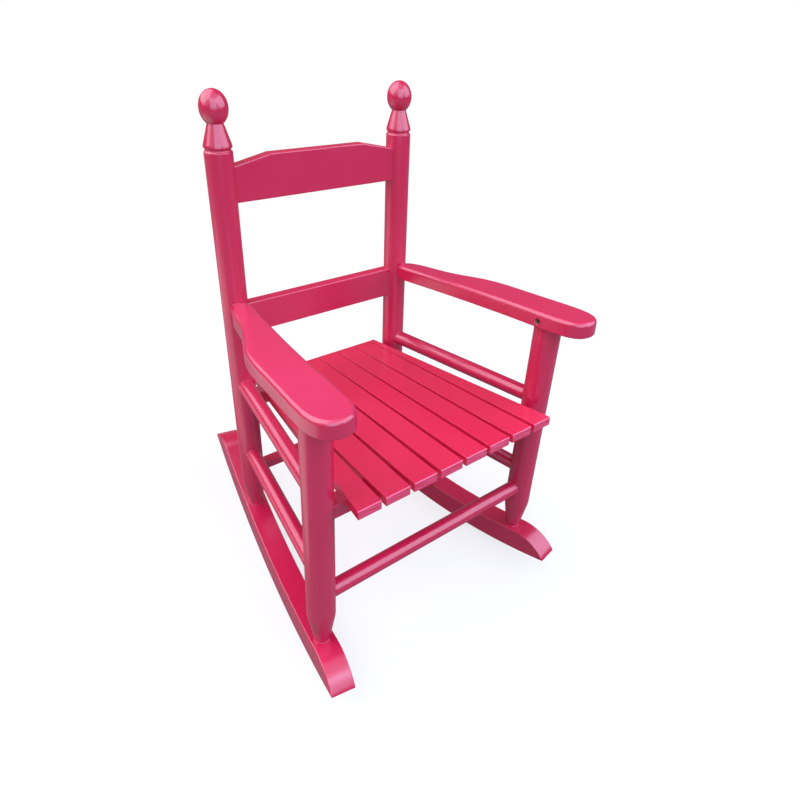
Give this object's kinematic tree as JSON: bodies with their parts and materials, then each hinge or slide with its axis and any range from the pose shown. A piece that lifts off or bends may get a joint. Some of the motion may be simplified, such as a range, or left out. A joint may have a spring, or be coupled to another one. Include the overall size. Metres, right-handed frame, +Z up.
{
  "type": "child rocking chair",
  "caption": "Child's rocking chair in painted wood: turned posts with ball finials, sawn arms, a fanned slat seat, dowel rungs and splayed curved rockers.",
  "frame": {"origin": "middle of the bounding box, on the floor under the rockers", "axes": "+Z up, the chair faces -Y, +X to the right of the picture across the chair"},
  "size_m": [0.3736, 0.4462, 0.5589],
  "materials": {
    "painted_wood": "satin crimson pink paint",
    "screw_steel": "plain steel"
  },
  "bodies": {
    "root": {"rear_post_left": "painted_wood", "rear_post_right": "painted_wood", "front_leg_left": "painted_wood", "front_leg_right": "painted_wood", "rocker_left": "painted_wood", "rocker_right": "painted_wood", "armrest_left": "painted_wood", "armrest_right": "painted_wood", "upper_side_rung_left": "painted_wood", "upper_side_rung_right": "painted_wood", "lower_side_rung_left": "painted_wood", "lower_side_rung_right": "painted_wood", "crest_rail": "painted_wood", "lower_back_rail": "painted_wood", "front_stretcher": "painted_wood", "rear_stretcher": "painted_wood", "front_seat_rail": "painted_wood", "rear_seat_rail": "painted_wood", "seat_slat_1": "painted_wood", "seat_slat_2": "painted_wood", "seat_slat_3": "painted_wood", "seat_slat_4": "painted_wood", "seat_slat_5": "painted_wood", "seat_slat_6": "painted_wood", "seat_slat_7": "painted_wood", "seat_slat_8": "painted_wood", "arm_screws": "screw_steel", "slat_screws": "screw_steel", "rocker_screws": "screw_steel"}
  },
  "joints": []
}
